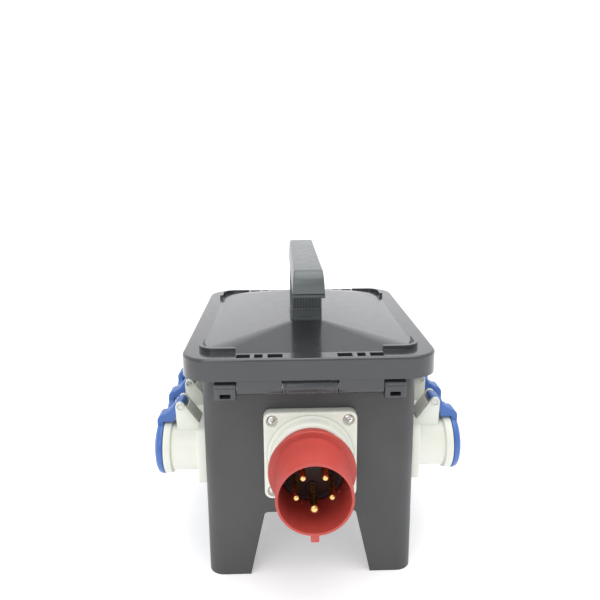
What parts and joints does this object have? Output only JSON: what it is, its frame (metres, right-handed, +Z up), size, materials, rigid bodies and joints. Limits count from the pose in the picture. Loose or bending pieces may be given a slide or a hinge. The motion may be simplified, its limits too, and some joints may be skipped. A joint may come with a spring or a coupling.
{
  "type": "portable power distribution box",
  "caption": "Portable dark-grey power distribution box on corner legs, with a hinged lid and carrying handle, a red five-pin inlet and capped blue-and-grey side sockets.",
  "frame": {"origin": "middle of the overall footprint, on the floor", "axes": "+Z up, +Y from the inlet end to the far end, +X to the right when facing the inlet"},
  "size_m": [0.267, 0.3174, 0.2605],
  "materials": {
    "case_plastic": "fine-grained satin dark grey",
    "lid_plastic": "semi-gloss dark grey",
    "seal_rubber": "matt black",
    "hinge_plastic": "semi-gloss dark grey",
    "hinge_steel": "zinc plated",
    "grip_plastic": "satin mid grey",
    "post_plastic": "satin dark grey",
    "black_screw": "black zinc",
    "white_plastic": "light grey, smooth",
    "red_plastic": "red, smooth",
    "carrier_plastic": "dark",
    "pin_brass": "bright",
    "screw_steel": "bright zinc",
    "clip_steel": "spring steel",
    "rail_steel": "zinc plated",
    "device_plastic": "light grey",
    "toggle_plastic": "black",
    "button_plastic": "yellow",
    "cover_plastic": "mid grey",
    "bar_brass": "plain",
    "block_plastic": "grey green",
    "blue_plastic": "blue, smooth",
    "insert_plastic": "dark grey"
  },
  "bodies": {
    "case": {"breaker_body_1": "device_plastic", "breaker_body_2": "device_plastic", "breaker_body_3": "device_plastic", "case_shell": "case_plastic", "cover_screws": "black_screw", "device_rail": "rail_steel", "earth_bar": "bar_brass", "earth_bar_feet": "block_plastic", "hinge_barrel_front": "hinge_plastic", "hinge_barrel_rear": "hinge_plastic", "hinge_clips_front": "hinge_plastic", "hinge_clips_rear": "hinge_plastic", "hinge_rod_front": "hinge_steel", "hinge_rod_rear": "hinge_steel", "inlet_carrier": "carrier_plastic", "inlet_earth_pin": "pin_brass", "inlet_live_pins": "pin_brass", "inlet_plate": "white_plastic", "inlet_screws": "screw_steel", "inlet_shroud": "red_plastic", "inner_cover": "cover_plastic", "rail_feet": "rail_steel", "rcd_body": "device_plastic", "socket_earth_clips": "clip_steel", "socket_hinge_pins": "screw_steel", "socket_housing_left_1": "white_plastic", "socket_housing_left_2": "white_plastic", "socket_housing_left_3": "white_plastic", "socket_housing_right_1": "white_plastic", "socket_housing_right_2": "white_plastic", "socket_housing_right_3": "white_plastic", "socket_insert_left_1": "insert_plastic", "socket_insert_left_2": "insert_plastic", "socket_insert_left_3": "insert_plastic", "socket_insert_right_1": "insert_plastic", "socket_insert_right_2": "insert_plastic", "socket_insert_right_3": "insert_plastic", "socket_screws": "screw_steel", "terminal_block": "block_plastic"},
    "lid": {"lid_shell": "lid_plastic", "lid_seal": "seal_rubber", "handle_grip": "grip_plastic", "handle_post_front": "post_plastic", "handle_post_rear": "post_plastic", "handle_screws": "black_screw"},
    "flap_right_1": {"socket_cap_right_1": "blue_plastic"},
    "flap_right_2": {"socket_cap_right_2": "blue_plastic"},
    "flap_right_3": {"socket_cap_right_3": "blue_plastic"},
    "flap_left_1": {"socket_cap_left_1": "blue_plastic"},
    "flap_left_2": {"socket_cap_left_2": "blue_plastic"},
    "flap_left_3": {"socket_cap_left_3": "blue_plastic"},
    "rcd_lever": {"rcd_toggle": "toggle_plastic"},
    "breaker_lever_1": {"breaker_toggle_1": "toggle_plastic"},
    "breaker_lever_2": {"breaker_toggle_2": "toggle_plastic"},
    "breaker_lever_3": {"breaker_toggle_3": "toggle_plastic"},
    "test_button": {"rcd_test_button": "button_plastic"}
  },
  "joints": [
    {"name": "lid_hinge", "type": "hinge", "parent": "case", "child": "lid", "pos_m": [0, -0.09025, 0.173], "axis": [1, 0, 0], "range_deg": [0, 95]},
    {"name": "flap_right_1_hinge", "type": "hinge", "parent": "case", "child": "flap_right_1", "pos_m": [0.1094, -0.04175, 0.142], "axis": [0, -1, 0], "range_deg": [0, 100], "stiffness_Nm_per_rad": 0.02, "springref_deg": -34.38},
    {"name": "flap_right_2_hinge", "type": "hinge", "parent": "case", "child": "flap_right_2", "pos_m": [0.1094, 0.01375, 0.142], "axis": [0, -1, 0], "range_deg": [0, 100], "stiffness_Nm_per_rad": 0.02, "springref_deg": -34.38},
    {"name": "flap_right_3_hinge", "type": "hinge", "parent": "case", "child": "flap_right_3", "pos_m": [0.1094, 0.06925, 0.142], "axis": [0, -1, 0], "range_deg": [0, 100], "stiffness_Nm_per_rad": 0.02, "springref_deg": -34.38},
    {"name": "flap_left_1_hinge", "type": "hinge", "parent": "case", "child": "flap_left_1", "pos_m": [-0.1094, -0.04175, 0.142], "axis": [0, 1, 0], "range_deg": [0, 100], "stiffness_Nm_per_rad": 0.02, "springref_deg": -34.38},
    {"name": "flap_left_2_hinge", "type": "hinge", "parent": "case", "child": "flap_left_2", "pos_m": [-0.1094, 0.01375, 0.142], "axis": [0, 1, 0], "range_deg": [0, 100], "stiffness_Nm_per_rad": 0.02, "springref_deg": -34.38},
    {"name": "flap_left_3_hinge", "type": "hinge", "parent": "case", "child": "flap_left_3", "pos_m": [-0.1094, 0.06925, 0.142], "axis": [0, 1, 0], "range_deg": [0, 100], "stiffness_Nm_per_rad": 0.02, "springref_deg": -34.38},
    {"name": "rcd_lever_tilt", "type": "hinge", "parent": "case", "child": "rcd_lever", "pos_m": [0, 0.03075, 0.175], "axis": [1, 0, 0], "range_deg": [0, 70]},
    {"name": "breaker_lever_1_tilt", "type": "hinge", "parent": "case", "child": "breaker_lever_1", "pos_m": [0, 0.03075, 0.175], "axis": [1, 0, 0], "range_deg": [0, 70]},
    {"name": "breaker_lever_2_tilt", "type": "hinge", "parent": "case", "child": "breaker_lever_2", "pos_m": [0, 0.03075, 0.175], "axis": [1, 0, 0], "range_deg": [0, 70]},
    {"name": "breaker_lever_3_tilt", "type": "hinge", "parent": "case", "child": "breaker_lever_3", "pos_m": [0, 0.03075, 0.175], "axis": [1, 0, 0], "range_deg": [0, 70]},
    {"name": "test_button_press", "type": "slide", "parent": "case", "child": "test_button", "axis": [0, 0, -1], "range_m": [0, 0.0015], "stiffness_N_per_m": 400, "springref_m": -0.0008}
  ]
}
